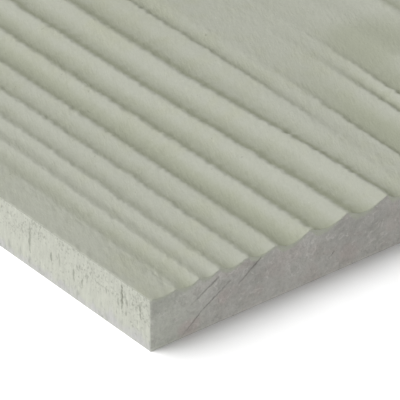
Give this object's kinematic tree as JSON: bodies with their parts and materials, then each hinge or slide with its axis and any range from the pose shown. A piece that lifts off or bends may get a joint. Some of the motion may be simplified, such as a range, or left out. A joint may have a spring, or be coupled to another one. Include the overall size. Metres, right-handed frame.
{
  "type": "fibre cement cladding plank",
  "caption": "Long flat fibre cement cladding plank with square sawn ends, straight long edges, a flat back and a face embossed with wandering grain ridges.",
  "frame": {"origin": "centre of the flat back face, on the surface that the plank lies on", "axes": "+X along the plank, +Y across its width, +Z out of the embossed face"},
  "size_m": [3.6, 0.19, 0.01],
  "materials": {
    "fibre_cement": "matt pale grey-green coat on the face and long edges, bare grey fibre cement on the sawn ends and back"
  },
  "bodies": {
    "root": {"plank": "fibre_cement"}
  },
  "joints": []
}
